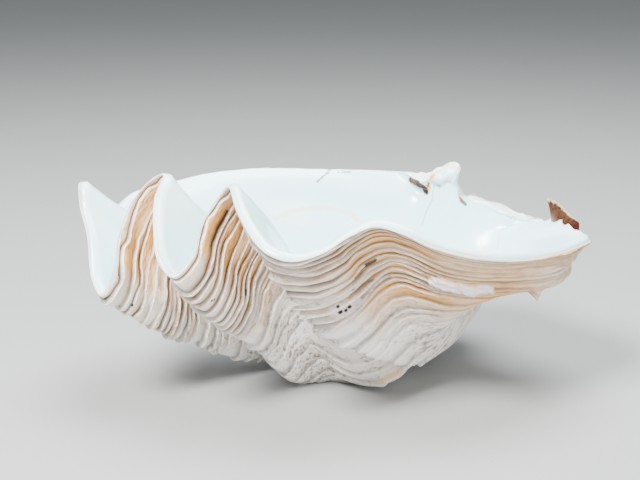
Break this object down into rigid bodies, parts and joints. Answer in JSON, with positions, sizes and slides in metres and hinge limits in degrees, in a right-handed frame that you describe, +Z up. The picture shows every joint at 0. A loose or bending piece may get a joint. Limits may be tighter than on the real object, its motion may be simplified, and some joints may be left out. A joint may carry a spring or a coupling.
{
  "type": "giant clam half shell",
  "caption": "Deeply fluted giant clam half shell lying bowl up, with growth ledges, a toothed hinge and a dried flake of ligament on the rim.",
  "frame": {"origin": "under the middle of the part's box, on the surface that the shell rests on", "axes": "+X along the shell towards its long flat tip, +Y from the front folds towards the hinge side, +Z up out of the bowl"},
  "size_m": [0.447, 0.2976, 0.2104],
  "materials": {
    "shell": "porcelain-smooth inside, chalky and rough outside",
    "ligament": "dried and horny",
    "dark_ligament": "dried and horny"
  },
  "bodies": {
    "root": {"shell": "shell", "ligament_flake": "ligament", "ligament_remnant": "dark_ligament"}
  },
  "joints": []
}
